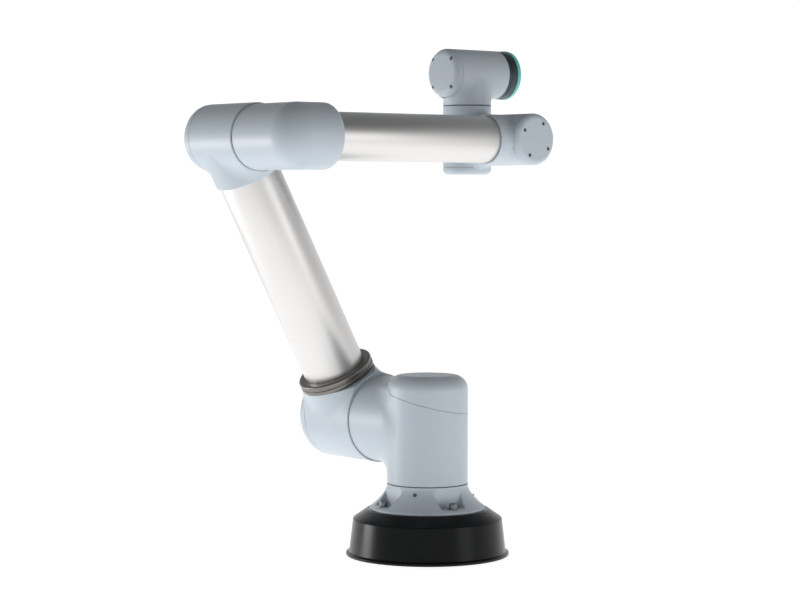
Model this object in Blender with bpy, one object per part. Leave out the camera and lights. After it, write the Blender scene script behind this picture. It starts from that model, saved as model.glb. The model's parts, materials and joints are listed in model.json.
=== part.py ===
"""Six-axis collaborative robot arm on a round riser: castings, tubes, covers, fasteners and joint drives.

Metres, +Z up. The origin is the centre of the riser's underside. +X is the forearm's direction at rest
and +Y is the direction in which the upper arm stands off the base axis, which is also the direction of
the shoulder, elbow and wrist 1 axes.
"""

from math import cos, pi, radians, sin

import bmesh
import bpy
from mathutils import Matrix, Vector

# Kinematics
SHOULDER_HEIGHT = 0.2181
UPPER_ARM_LENGTH = 0.5404
UPPER_ARM_LEAN = radians(28.48)
FOREARM_LENGTH = 0.4642
UPPER_ARM_OFFSET = 0.1954
FOREARM_OFFSET = 0.0173
WRIST_2_OFFSET = 0.1372
WRIST_3_RISE = 0.1177
TOOL_REACH = 0.0928

# Riser and base
RISER_HEIGHT = 0.0765
RISER_FOOT_RADIUS = 0.136
RISER_SIDE_RADIUS = 0.131
RISER_RIM_RADIUS = 0.1245
RISER_RIM_HEIGHT = 0.059
PLATE_RADIUS = 0.117
PLATE_THICKNESS = 0.006
RISER_CHAMBER_RADIUS = 0.110
RISER_CHAMBER_TOP = 0.050
RISER_CABLE_WAY_RADIUS = 0.030
BASE_FLANGE_RADIUS = 0.0958
BASE_TOP = 0.1191
BASE_FLANGE_THICKNESS = 0.008
BASE_HOLLOW_RADIUS = 0.058
BASE_HOLLOW_HEIGHT = 0.033
BASE_CABLE_WAY_RADIUS = 0.020
BOLT_POCKET_RADIUS = 0.012
BOLT_CIRCLE_RADIUS = 0.084
FIRST_BOLT_ANGLE = radians(-100)
BOLT_HEAD_RADIUS = 0.0065
BOLT_HEAD_HEIGHT = 0.008
BOLT_HEX_RADIUS = 0.0035
BOLT_SHANK_RADIUS = 0.004
BOLT_TIP_Z = 0.0655
BASE_CONNECTOR_ANGLE = radians(35)
BASE_CONNECTOR_HEIGHT = 0.0985
INLET_RADIUS = 0.0133
INLET_SEAT_RADIUS = 0.0163
INLET_SEAT_REACH = 0.0853

# Outer radii of the castings and tubes
COLUMN_RADIUS = 0.0675
SHOULDER_NECK_RADIUS = 0.0732
SHOULDER_TOP = 0.300
LID_ROUNDING = 0.024
SHOULDER_NECK_BORE = 0.0690
UPPER_ARM_NECK_RADIUS = 0.0625
SHOULDER_BARREL_RADIUS = 0.0755
UPPER_TUBE_RADIUS = 0.0531
CLAMP_RADIUS = 0.066
ELBOW_RADIUS = 0.0565
ELBOW_COLLAR_RADIUS = 0.0575
SLEEVE_RADIUS = 0.0543
FORE_TUBE_RADIUS = 0.0401
WRIST_1_RADIUS = 0.0442
WRIST_2_RADIUS = 0.0424
WRIST_3_RADIUS = 0.0427
TOOL_RADIUS = 0.0425
TOOL_BOSS_RADIUS = 0.0350
TOOL_BOSS_CHAMFER = 0.0008
LIGHT_RADIUS = 0.0434

# Length that a drive's outline is drawn to, before it is fitted to its joint
DRIVE_LENGTH = 0.100

# Joint planes, cover seams and ends, each along its own axis
ARM_JOINT_Y = 0.120
ARM_SEAM_Y = 0.240
ARM_END_Y = 0.262
SLEEVE_END_X = -0.198
COLLAR_START_X = 0.143
WRIST_1_END_Y = -0.043
WRIST_1_SEAM_Y = -0.029
WRIST_1_JOINT_Y = 0.075
WRIST_2_END_Z = 0.634
WRIST_2_SEAM_Z = 0.647
WRIST_2_JOINT_Z = 0.755
WRIST_3_END_X = 0.147
WRIST_3_SEAM_X = 0.161
WRIST_3_JOINT_X = 0.270
TOOL_STEP_X = 0.2885
CLAMP_START = 0.078
CLAMP_END = 0.095
ELBOW_COLLAR_LENGTH = 0.068
LID_HEIGHT = 0.2545
LID_SLOPE_X = -0.160
LID_SLOPE_Y = 0.204

# Roundings of the covers, ways for the cables, walls across the castings and room for the drives
BARREL_CAP_ROUNDING = 0.014
WRIST_1_CAP_ROUNDING = 0.010
WRIST_2_CAP_ROUNDING = 0.009
WRIST_3_CAP_ROUNDING = 0.012
ARM_CABLE_WAY_RADIUS = 0.028
COLUMN_CABLE_WAY_RADIUS = 0.020
ELBOW_CABLE_WAY_RADIUS = 0.016
WRIST_CABLE_WAY_RADIUS = 0.014
TOOL_CABLE_WAY_RADIUS = 0.008
JOINT_WEB = 0.008
TUBE_SEAT_LENGTH = 0.016
WRIST_TUBE_SEAT_LENGTH = 0.018
BASE_DRIVE_ROOM = 0.125
ARM_DRIVE_ROOM = 0.118
WRIST_1_DRIVE_ROOM = 0.102
WRIST_DRIVE_ROOM = 0.104

# Tool flange's bolt pattern
PILOT_RADIUS = 0.01575
PILOT_DEPTH = 0.006
THREAD_CIRCLE_RADIUS = 0.025
THREAD_RADIUS = 0.003
THREAD_DEPTH = 0.010
TOOL_SEAT_RADIUS = 0.0072
TOOL_SEAT_REACH = 0.0395

WALL = 0.004
THIN_WALL = 0.003
GAP = 0.0003
OVERCUT = 0.001
LONG_OVERCUT = 0.010
SEGMENTS = 24
DRIVE_SEGMENTS = 14
BORE_SEGMENTS = 20
HOLE_SEGMENTS = 8

X, Y, Z = Vector((1, 0, 0)), Vector((0, 1, 0)), Vector((0, 0, 1))
ALONG_UPPER_ARM = Vector((-sin(UPPER_ARM_LEAN), 0, cos(UPPER_ARM_LEAN)))
SHOULDER = Vector((0, 0, SHOULDER_HEIGHT))
UPPER_ARM_ROOT = SHOULDER + Y * UPPER_ARM_OFFSET
UPPER_ARM_TIP = UPPER_ARM_ROOT + ALONG_UPPER_ARM * UPPER_ARM_LENGTH
ELBOW = Vector((UPPER_ARM_TIP.x, FOREARM_OFFSET, UPPER_ARM_TIP.z))
WRIST_1 = ELBOW + X * FOREARM_LENGTH
WRIST_2 = Vector((WRIST_1.x, WRIST_2_OFFSET, WRIST_1.z))
WRIST_3 = WRIST_2 + Z * WRIST_3_RISE
TOOL_FACE_X = WRIST_3.x + TOOL_REACH

MATERIALS = {
    "casting_paint": ((0.60, 0.66, 0.71), 0.4, 0.0),
    "bare_tube": ((0.72, 0.72, 0.72), 0.35, 1.0),
    "clamp_metal": ((0.30, 0.28, 0.26), 0.4, 1.0),
    "riser_black": ((0.01, 0.011, 0.012), 0.3, 0.0),
    "tool_dark": ((0.06, 0.08, 0.09), 0.35, 0.6),
    "light_teal": ((0.10, 0.62, 0.58), 0.3, 0.0),
    "bolt_steel": ((0.45, 0.45, 0.46), 0.35, 1.0),
    "connector_black": ((0.02, 0.02, 0.022), 0.5, 0.0),
    "motor_iron": ((0.35, 0.20, 0.12), 0.6, 0.5),
    "shaft_steel": ((0.5, 0.5, 0.52), 0.3, 1.0),
    "reducer_steel": ((0.42, 0.42, 0.45), 0.3, 1.0),
    "bearing_steel": ((0.6, 0.6, 0.62), 0.15, 1.0),
    "circuit_green": ((0.02, 0.18, 0.08), 0.5, 0.0),
}


def clear_scene():
    for old in list(bpy.data.objects):
        bpy.data.objects.remove(old)


def material(slot):
    colour, roughness, metallic = MATERIALS[slot]
    found = bpy.data.materials.get(slot) or bpy.data.materials.new(slot)
    found.use_nodes = True
    shader = found.node_tree.nodes["Principled BSDF"]
    shader.inputs["Base Color"].default_value = (*colour, 1)
    shader.inputs["Roughness"].default_value = roughness
    shader.inputs["Metallic"].default_value = metallic
    return found


def facing(direction):
    """The rotation that turns local +Z to direction."""
    return Z.rotation_difference(direction.normalized()).to_matrix().to_4x4()


def lofted(name, rings, closed=False):
    """Joins rings of points, in order, into one closed body. A ring of one point closes an end."""
    bm = bmesh.new()
    loops = [[bm.verts.new(point) for point in ring] for ring in rings]
    pairs = list(zip(loops, loops[1:])) + ([(loops[-1], loops[0])] if closed else [])
    for low, high in pairs:
        count = max(len(low), len(high))
        for n in range(count):
            corners = [low[n % len(low)], low[(n + 1) % len(low)]]
            corners += [high[(n + 1) % len(high)], high[n % len(high)]]
            bm.faces.new(list(dict.fromkeys(corners)))
    if not closed:
        for loop in (loops[0], loops[-1]):
            if len(loop) > 1:
                bm.faces.new(loop)
    bmesh.ops.recalc_face_normals(bm, faces=bm.faces)
    mesh = bpy.data.meshes.new(name)
    bm.to_mesh(mesh)
    bm.free()
    mesh.shade_smooth()
    mesh.set_sharp_from_angle(angle=radians(35))
    body = bpy.data.objects.new(name, mesh)
    bpy.context.scene.collection.objects.link(body)
    return body


def circle(radius, height, segments):
    if radius == 0:
        return [Vector((0, 0, height))]
    angles = [2 * pi * n / segments for n in range(segments)]
    return [Vector((radius * cos(a), radius * sin(a), height)) for a in angles]


def place(body, origin, direction):
    body.matrix_world = Matrix.Translation(origin) @ facing(direction)
    return body


def solid(name, origin, direction, outline, segments=SEGMENTS):
    """A body turned about direction through origin, from (radius, height) points up its outside."""
    rings = [circle(radius, height, segments) for radius, height in outline]
    return place(lofted(name, rings), origin, direction)


def ring(name, origin, direction, outline, segments=SEGMENTS):
    """A body turned about direction through origin, from a closed loop of (radius, height) points."""
    rings = [circle(radius, height, segments) for radius, height in outline]
    return place(lofted(name, rings, closed=True), origin, direction)


def rod(name, start, end, radius, segments=SEGMENTS):
    return solid(name, start, end - start, [(radius, 0), (radius, (end - start).length)], segments)


def rounded_end(radius, low, high, rounding, steps=3):
    """The outline of a rod from low to high with its high end rounded off."""
    sign = 1 if high > low else -1
    turns = [pi / 2 * n / steps for n in range(steps + 1)]
    arc = [(radius - rounding * (1 - cos(t)), high - sign * rounding * (1 - sin(t))) for t in turns]
    return [(radius, low), *arc]


def shaped(body, slot, add=(), cut=()):
    """Unites body with the solids in add, then takes away the solids in cut."""
    for operation, tools in (("UNION", add), ("DIFFERENCE", cut)):
        for tool in tools:
            change = body.modifiers.new(operation.lower(), "BOOLEAN")
            change.operation = operation
            change.object = tool
            tool.hide_render = True
            tool.display_type = "WIRE"
    body.data.materials.append(material(slot))
    return body


def dome(radius, low_steps=5):
    """The outline of a half ball that closes on the axis below height 0."""
    turns = [pi / 2 * n / low_steps for n in range(low_steps)]
    return [(radius * sin(t), -radius * cos(t)) for t in turns]


def cover(name, origin, direction, radius, seam, end, rounding, wall):
    """A round cover with a rounded edge, and a hollow inside that is open at the seam."""
    outside = rounded_end(radius, seam, end, rounding)
    inward = 1 if end > seam else -1
    depth = abs(end - seam) - wall
    plug = [(radius - 2 * wall, 0), (radius - rounding, depth)]
    body = solid(name, origin, direction, outside)
    inner_start = origin + direction.normalized() * (seam - inward * GAP)
    hollow = solid(f"{name}_hollow", inner_start, direction * inward, plug)
    return shaped(body, "casting_paint", cut=[hollow])


def drive(joint, origin, direction, radius, length):
    """The five pieces of a hollow-shaft joint drive, from the joint plane inwards.

    radius is the casting's inner radius and length is the room behind the joint plane.
    """
    at = length / DRIVE_LENGTH
    seat = radius * cos(pi / SEGMENTS) - GAP

    def piece(kind, slot, outline):
        body = ring(f"{joint}_{kind}", origin, direction, outline, DRIVE_SEGMENTS)
        body.data.materials.append(material(slot))

    # cross-roller bearing that carries the output
    piece("output_bearing", "bearing_steel", [
        (seat, 0.003 * at), (seat, 0.016 * at), (0.80 * radius, 0.016 * at), (0.80 * radius, 0.003 * at),
    ])
    # flexible cup of the strain wave gear, with the output hub at the joint plane
    hub, cup, inner = 0.78 * radius, 0.66 * radius, 0.63 * radius
    piece("strain_wave_cup", "reducer_steel", [
        (hub, 0.001 * at), (hub, 0.012 * at), (cup, 0.014 * at), (cup, 0.040 * at),
        (inner, 0.040 * at), (inner, 0.015 * at), (0.30 * radius, 0.012 * at), (0.30 * radius, 0.001 * at),
    ])
    # hollow motor shaft with the wave generator and the magnet rotor
    generator, magnets, shaft, bore = 0.60 * radius, 0.52 * radius, 0.27 * radius, 0.20 * radius
    piece("rotor", "shaft_steel", [
        (shaft, 0.018 * at), (shaft, 0.024 * at), (generator, 0.024 * at), (generator, 0.038 * at),
        (shaft, 0.038 * at), (shaft, 0.050 * at), (magnets, 0.050 * at), (magnets, 0.072 * at),
        (shaft, 0.072 * at), (shaft, 0.086 * at), (bore, 0.086 * at), (bore, 0.018 * at),
    ])
    # wound stator pressed into the casting
    piece("stator", "motor_iron", [
        (seat, 0.046 * at), (seat, 0.076 * at), (0.56 * radius, 0.076 * at), (0.56 * radius, 0.046 * at),
    ])
    # annular board with the motor driver and the encoders
    piece("drive_board", "circuit_green", [
        (0.90 * radius, 0.089 * at), (0.90 * radius, 0.092 * at), (0.16 * radius, 0.092 * at),
        (0.16 * radius, 0.089 * at),
    ])


def riser():
    origin = Vector((0, 0, 0))
    solid_outside = solid("riser_body", origin, Z, [
        (RISER_FOOT_RADIUS, 0), (RISER_FOOT_RADIUS, 0.004), (RISER_SIDE_RADIUS, 0.0055),
        (RISER_RIM_RADIUS, RISER_RIM_HEIGHT), (0.1225, 0.0625), (BASE_FLANGE_RADIUS + 0.001, RISER_HEIGHT),
    ])
    plate_seat = OVERCUT + PLATE_THICKNESS + GAP
    hollow = solid("riser_hollow", Vector((0, 0, -OVERCUT)), Z, [
        (PLATE_RADIUS + GAP, 0), (PLATE_RADIUS + GAP, plate_seat), (RISER_CHAMBER_RADIUS, plate_seat),
        (RISER_CHAMBER_RADIUS, RISER_CHAMBER_TOP), (0.070, 0.059),
    ])
    cable_way = rod("riser_cable_way", Z * RISER_CHAMBER_TOP, Z * 0.08, RISER_CABLE_WAY_RADIUS)
    bolt_holes = [
        rod(f"riser_bolt_hole_{n}", at + Z * 0.064, at + Z * 0.08, BOLT_SHANK_RADIUS + GAP, HOLE_SEGMENTS)
        for n, at in enumerate(bolt_places(), 1)
    ]
    shaped(solid_outside, "riser_black", cut=[hollow, cable_way, *bolt_holes])
    plate = solid("riser_bottom_plate", origin, Z, [(PLATE_RADIUS, 0), (PLATE_RADIUS, PLATE_THICKNESS)])
    plate.data.materials.append(material("riser_black"))


def bolt_places():
    angles = [FIRST_BOLT_ANGLE + pi / 2 * n for n in range(4)]
    return [Vector((BOLT_CIRCLE_RADIUS * cos(a), BOLT_CIRCLE_RADIUS * sin(a), 0)) for a in angles]


def base():
    bottom = RISER_HEIGHT + GAP
    flange_top = bottom + BASE_FLANGE_THICKNESS
    outside = solid("base_housing", Vector((0, 0, 0)), Z, [
        (BASE_FLANGE_RADIUS, bottom), (BASE_FLANGE_RADIUS, bottom + 0.003), (0.0895, 0.0850),
        (0.0815, 0.0925), (0.0755, 0.1010), (0.0710, 0.1095), (COLUMN_RADIUS + 0.001, BASE_TOP - 0.002),
        (COLUMN_RADIUS, BASE_TOP),
    ])
    hollow = solid("base_hollow", Z * (bottom - OVERCUT), Z, [
        (BASE_HOLLOW_RADIUS, 0), (BASE_HOLLOW_RADIUS, OVERCUT + BASE_HOLLOW_HEIGHT),
    ])
    top_hole = rod("base_top_hole", Z * 0.10, Z * 0.125, BASE_CABLE_WAY_RADIUS, BORE_SEGMENTS)
    pockets = [
        rod(f"base_bolt_pocket_{n}", at + Z * flange_top, at + Z * 0.125, BOLT_POCKET_RADIUS, 12)
        for n, at in enumerate(bolt_places(), 1)
    ]
    holes = [
        rod(f"base_bolt_hole_{n}", at + Z * 0.07, at + Z * 0.09, BOLT_SHANK_RADIUS + GAP, HOLE_SEGMENTS)
        for n, at in enumerate(bolt_places(), 1)
    ]
    outwards = X * cos(BASE_CONNECTOR_ANGLE) + Y * sin(BASE_CONNECTOR_ANGLE)
    height = Z * BASE_CONNECTOR_HEIGHT
    outside_end = outwards * 0.12 + height
    seat_start = outwards * INLET_SEAT_REACH + height
    inlet = rod("base_inlet", outwards * 0.05 + height, outside_end, INLET_RADIUS, BORE_SEGMENTS)
    seat = rod("base_inlet_seat", seat_start, outside_end, INLET_SEAT_RADIUS, BORE_SEGMENTS)
    shaped(outside, "casting_paint", cut=[hollow, top_hole, *pockets, *holes, inlet, seat])
    socket = solid("base_connector", height, outwards, [
        (0.0130, 0.062), (0.0130, 0.0856), (0.0158, 0.0856), (0.0158, 0.0930), (0.0135, 0.0930),
        (0.0135, 0.1010), (0.0105, 0.1010), (0.0105, 0.0975), (0, 0.0975),
    ], BORE_SEGMENTS)
    socket.data.materials.append(material("connector_black"))
    for n, at in enumerate(bolt_places(), 1):
        seat_z = flange_top + GAP
        bolt = solid(f"base_bolt_{n}", at, Z, [
            (BOLT_SHANK_RADIUS, BOLT_TIP_Z), (BOLT_SHANK_RADIUS, seat_z), (BOLT_HEAD_RADIUS, seat_z),
            (BOLT_HEAD_RADIUS, seat_z + BOLT_HEAD_HEIGHT),
        ], HOLE_SEGMENTS)
        hex_floor = at + Z * (seat_z + BOLT_HEAD_HEIGHT / 2)
        socket_cut = rod(f"base_bolt_{n}_hex", hex_floor, at + Z * 0.1, BOLT_HEX_RADIUS, 6)
        shaped(bolt, "bolt_steel", cut=[socket_cut])


def lid_cutter(name, radius, lift):
    """A rod about the column's axis whose lower end is the lid's slanted seam, moved up by lift."""
    foot, head = 0.2, 0.35
    cutter = rod(name, Z * foot, Z * head, radius)
    for corner in cutter.data.vertices:
        if corner.co.z < (head - foot) / 2:
            slanted = LID_HEIGHT + LID_SLOPE_X * corner.co.x + LID_SLOPE_Y * corner.co.y
            corner.co.z = slanted + lift - foot
    return cutter


def shoulder():
    bottom = BASE_TOP + GAP
    neck_end = ARM_JOINT_Y - GAP
    top = rounded_end(COLUMN_RADIUS, bottom, SHOULDER_TOP, LID_ROUNDING)
    column = solid("shoulder_housing", Vector((0, 0, 0)), Z, top)
    neck = rod("shoulder_neck", SHOULDER, SHOULDER + Y * neck_end, SHOULDER_NECK_RADIUS)
    inner = COLUMN_RADIUS - WALL
    column_hollow = solid("shoulder_column_hollow", Vector((0, 0, 0)), Z, [
        (inner, bottom - OVERCUT), (inner, 0.255), (0.050, 0.285),
    ])
    web = SHOULDER + Y * (neck_end - JOINT_WEB)
    past = SHOULDER + Y * (ARM_JOINT_Y + LONG_OVERCUT)
    neck_hollow = rod("shoulder_neck_hollow", SHOULDER, web, SHOULDER_NECK_BORE)
    neck_hole = rod("shoulder_neck_hole", SHOULDER, past, COLUMN_CABLE_WAY_RADIUS, BORE_SEGMENTS)
    lid_space = lid_cutter("shoulder_lid_space", COLUMN_RADIUS + GAP, 0)
    shaped(column, "casting_paint", add=[neck], cut=[column_hollow, neck_hollow, neck_hole, lid_space])

    lid = solid("shoulder_cap", Vector((0, 0, 0)), Z, top)
    above = lid_cutter("shoulder_cap_bounds", 0.09, GAP)
    keep = lid.modifiers.new("above the seam", "BOOLEAN")
    keep.operation = "INTERSECT"
    keep.object = above
    above.hide_render = True
    above.display_type = "WIRE"
    lid_hollow = solid("shoulder_cap_hollow", Z * 0.2, Z, [(inner, 0), (inner, 0.075), (0.046, 0.096)])
    shaped(lid, "casting_paint", cut=[lid_hollow])
    drive("base", Z * bottom, Z, inner, BASE_DRIVE_ROOM)


def upper_arm():
    start = Vector((0, ARM_JOINT_Y, SHOULDER_HEIGHT))
    seam = Vector((0, ARM_SEAM_Y, SHOULDER_HEIGHT))
    inner = SHOULDER_BARREL_RADIUS - WALL
    barrel = rod("upper_arm_shoulder_housing", start, seam, SHOULDER_BARREL_RADIUS)
    neck_top = UPPER_ARM_ROOT + ALONG_UPPER_ARM * CLAMP_START
    neck = rod("upper_arm_neck", UPPER_ARM_ROOT, neck_top, UPPER_ARM_NECK_RADIUS)
    hollow = rod("upper_arm_barrel_hollow", start - Y * OVERCUT, seam + Y * OVERCUT, inner)
    above = neck_top + ALONG_UPPER_ARM * LONG_OVERCUT
    cable_way = rod("upper_arm_cable_way", UPPER_ARM_ROOT, above, ARM_CABLE_WAY_RADIUS, BORE_SEGMENTS)
    cap_seat = rod("upper_arm_cap_seat", seam, seam + Y * 0.03, SHOULDER_BARREL_RADIUS + GAP)
    shaped(barrel, "casting_paint", add=[neck], cut=[hollow, cap_seat, cable_way])
    axis = Vector((0, 0, SHOULDER_HEIGHT))
    seam_y, end_y = ARM_SEAM_Y + GAP, ARM_END_Y
    rounding = BARREL_CAP_ROUNDING
    cover("upper_arm_shoulder_cap", axis, Y, SHOULDER_BARREL_RADIUS, seam_y, end_y, rounding, WALL)
    drive("shoulder", start, Y, inner, ARM_DRIVE_ROOM)

    clamp = ring("upper_arm_clamp_ring", UPPER_ARM_ROOT, ALONG_UPPER_ARM, [
        (CLAMP_RADIUS, CLAMP_START + GAP), (CLAMP_RADIUS, CLAMP_END - 0.003),
        (CLAMP_RADIUS - 0.003, CLAMP_END), (UPPER_TUBE_RADIUS + GAP, CLAMP_END),
        (UPPER_TUBE_RADIUS + GAP, CLAMP_START + GAP),
    ])
    clamp.data.materials.append(material("clamp_metal"))
    tube_end = UPPER_ARM_LENGTH - ELBOW_RADIUS - 0.001
    tube = ring("upper_arm_tube", UPPER_ARM_ROOT, ALONG_UPPER_ARM, [
        (UPPER_TUBE_RADIUS, CLAMP_START + GAP), (UPPER_TUBE_RADIUS, tube_end),
        (UPPER_TUBE_RADIUS - WALL, tube_end), (UPPER_TUBE_RADIUS - WALL, CLAMP_START + GAP),
    ])
    tube.data.materials.append(material("bare_tube"))

    start = Vector((UPPER_ARM_TIP.x, ARM_JOINT_Y, UPPER_ARM_TIP.z))
    seam = Vector((UPPER_ARM_TIP.x, ARM_SEAM_Y, UPPER_ARM_TIP.z))
    inner = ELBOW_RADIUS - WALL
    barrel = rod("upper_arm_elbow_housing", start, seam, ELBOW_RADIUS)
    collar_end = UPPER_ARM_TIP - ALONG_UPPER_ARM * ELBOW_COLLAR_LENGTH
    collar = rod("upper_arm_collar", UPPER_ARM_TIP, collar_end, ELBOW_COLLAR_RADIUS)
    hollow = rod("elbow_barrel_hollow", start - Y * OVERCUT, seam + Y * OVERCUT, inner)
    socket_top = UPPER_ARM_ROOT + ALONG_UPPER_ARM * (tube_end + GAP)
    below = collar_end - ALONG_UPPER_ARM * LONG_OVERCUT
    socket = rod("upper_arm_socket", socket_top, below, UPPER_TUBE_RADIUS + GAP)
    cable_way = rod("elbow_cable_way", UPPER_ARM_TIP, below, ARM_CABLE_WAY_RADIUS, BORE_SEGMENTS)
    cap_seat = rod("elbow_cap_seat", seam, seam + Y * 0.03, ELBOW_RADIUS + GAP)
    shaped(barrel, "casting_paint", add=[collar], cut=[hollow, cap_seat, socket, cable_way])
    axis = Vector((UPPER_ARM_TIP.x, 0, UPPER_ARM_TIP.z))
    cover("upper_arm_elbow_cap", axis, Y, ELBOW_RADIUS, seam_y, end_y, rounding, THIN_WALL)
    drive("elbow", start, Y, inner, ARM_DRIVE_ROOM)


def forearm():
    start_y = ARM_JOINT_Y - GAP
    sleeve = SLEEVE_END_X - ELBOW.x
    nose = [(SLEEVE_RADIUS, sleeve - 0.0095), (SLEEVE_RADIUS - 0.002, sleeve - 0.004)]
    outline = [*dome(SLEEVE_RADIUS), *nose, (SLEEVE_RADIUS - 0.007, sleeve)]
    casting = solid("forearm_elbow_housing", ELBOW, X, outline)
    joint = Vector((ELBOW.x, start_y, ELBOW.z))
    branch = rod("forearm_branch", ELBOW, joint, SLEEVE_RADIUS - 0.0001)
    inner = SLEEVE_RADIUS - WALL
    hollow = solid("forearm_hollow", ELBOW, X, [*dome(inner), (inner, sleeve - TUBE_SEAT_LENGTH)])
    branch_hollow = rod("forearm_branch_hollow", ELBOW, joint - Y * JOINT_WEB, inner - 0.0001)
    socket_x = SLEEVE_END_X - TUBE_SEAT_LENGTH
    ahead = Vector((0, FOREARM_OFFSET, ELBOW.z))
    socket_end = ahead + X * (SLEEVE_END_X + LONG_OVERCUT)
    socket = rod("forearm_socket", ahead + X * (socket_x - OVERCUT), socket_end, FORE_TUBE_RADIUS + GAP)
    hole_ends = joint - Y * 0.02, joint + Y * LONG_OVERCUT
    joint_hole = rod("forearm_joint_hole", *hole_ends, ELBOW_CABLE_WAY_RADIUS, BORE_SEGMENTS)
    shaped(casting, "casting_paint", add=[branch], cut=[hollow, branch_hollow, socket, joint_hole])

    tube_start, tube_end = socket_x, COLLAR_START_X + WRIST_TUBE_SEAT_LENGTH
    tube = ring("forearm_tube", ahead, X, [
        (FORE_TUBE_RADIUS, tube_start), (FORE_TUBE_RADIUS, tube_end),
        (FORE_TUBE_RADIUS - THIN_WALL, tube_end), (FORE_TUBE_RADIUS - THIN_WALL, tube_start),
    ])
    tube.data.materials.append(material("bare_tube"))

    axis = Vector((WRIST_1.x, 0, WRIST_1.z))
    seam = axis + Y * WRIST_1_SEAM_Y
    end = axis + Y * (WRIST_1_JOINT_Y - GAP)
    inner = WRIST_1_RADIUS - THIN_WALL
    barrel = rod("forearm_wrist_housing", seam, end, WRIST_1_RADIUS)
    collar = rod("forearm_collar", ahead + X * COLLAR_START_X, WRIST_1, FORE_TUBE_RADIUS + 0.0027)
    hollow = rod("forearm_wrist_hollow", seam - Y * OVERCUT, end + Y * OVERCUT, inner)
    bore_start = ahead + X * (COLLAR_START_X - LONG_OVERCUT)
    bore = rod("forearm_wrist_socket", bore_start, ahead + X * (tube_end + GAP), FORE_TUBE_RADIUS + GAP)
    cable_way = rod("forearm_cable_way", bore_start, WRIST_1, COLUMN_CABLE_WAY_RADIUS, BORE_SEGMENTS)
    shaped(barrel, "casting_paint", add=[collar], cut=[hollow, bore, cable_way])
    seam_y, rounding = WRIST_1_SEAM_Y - GAP, WRIST_1_CAP_ROUNDING
    cover("forearm_wrist_cap", axis, Y, WRIST_1_RADIUS, seam_y, WRIST_1_END_Y, rounding, THIN_WALL)
    drive("wrist_1", end, -Y, inner, WRIST_1_DRIVE_ROOM)


def wrists():
    # wrist 1: a vertical barrel that hangs on wrist 1's output by a side neck
    seam = Vector((WRIST_2.x, WRIST_2.y, WRIST_2_SEAM_Z))
    end = Vector((WRIST_2.x, WRIST_2.y, WRIST_2_JOINT_Z - GAP))
    inner = WRIST_2_RADIUS - THIN_WALL
    barrel = rod("wrist_1_housing", seam, end, WRIST_2_RADIUS)
    root = Vector((WRIST_1.x, WRIST_1_JOINT_Y, WRIST_1.z))
    neck = rod("wrist_1_neck", root, WRIST_2, WRIST_1_RADIUS - 0.001)
    hollow = rod("wrist_1_hollow", seam - Z * OVERCUT, end + Z * OVERCUT, inner)
    way_start = root - Y * LONG_OVERCUT
    cable_way = rod("wrist_1_cable_way", way_start, WRIST_2, WRIST_CABLE_WAY_RADIUS, BORE_SEGMENTS)
    shaped(barrel, "casting_paint", add=[neck], cut=[hollow, cable_way])
    foot = Vector((WRIST_2.x, WRIST_2.y, 0))
    seam_z, rounding = WRIST_2_SEAM_Z - GAP, WRIST_2_CAP_ROUNDING
    cover("wrist_1_cap", foot, Z, WRIST_2_RADIUS, seam_z, WRIST_2_END_Z, rounding, THIN_WALL)
    drive("wrist_2", end, -Z, inner, WRIST_DRIVE_ROOM)

    # wrist 2: a horizontal barrel that stands on wrist 2's output
    axis = Vector((0, WRIST_3.y, WRIST_3.z))
    seam, end = axis + X * WRIST_3_SEAM_X, axis + X * (WRIST_3_JOINT_X - GAP)
    inner = WRIST_3_RADIUS - THIN_WALL
    barrel = rod("wrist_2_housing", seam, end, WRIST_3_RADIUS)
    root = Vector((WRIST_3.x, WRIST_3.y, WRIST_2_JOINT_Z))
    neck = rod("wrist_2_neck", root, WRIST_3, WRIST_2_RADIUS)
    hollow = rod("wrist_2_hollow", seam - X * OVERCUT, end + X * OVERCUT, inner)
    way_start = root - Z * LONG_OVERCUT
    cable_way = rod("wrist_2_cable_way", way_start, WRIST_3, WRIST_CABLE_WAY_RADIUS, BORE_SEGMENTS)
    shaped(barrel, "casting_paint", add=[neck], cut=[hollow, cable_way])
    seam_x, rounding = WRIST_3_SEAM_X - GAP, WRIST_3_CAP_ROUNDING
    cover("wrist_2_cap", axis, X, WRIST_3_RADIUS, seam_x, WRIST_3_END_X, rounding, THIN_WALL)
    drive("wrist_3", end, -X, inner, WRIST_DRIVE_ROOM)


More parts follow.
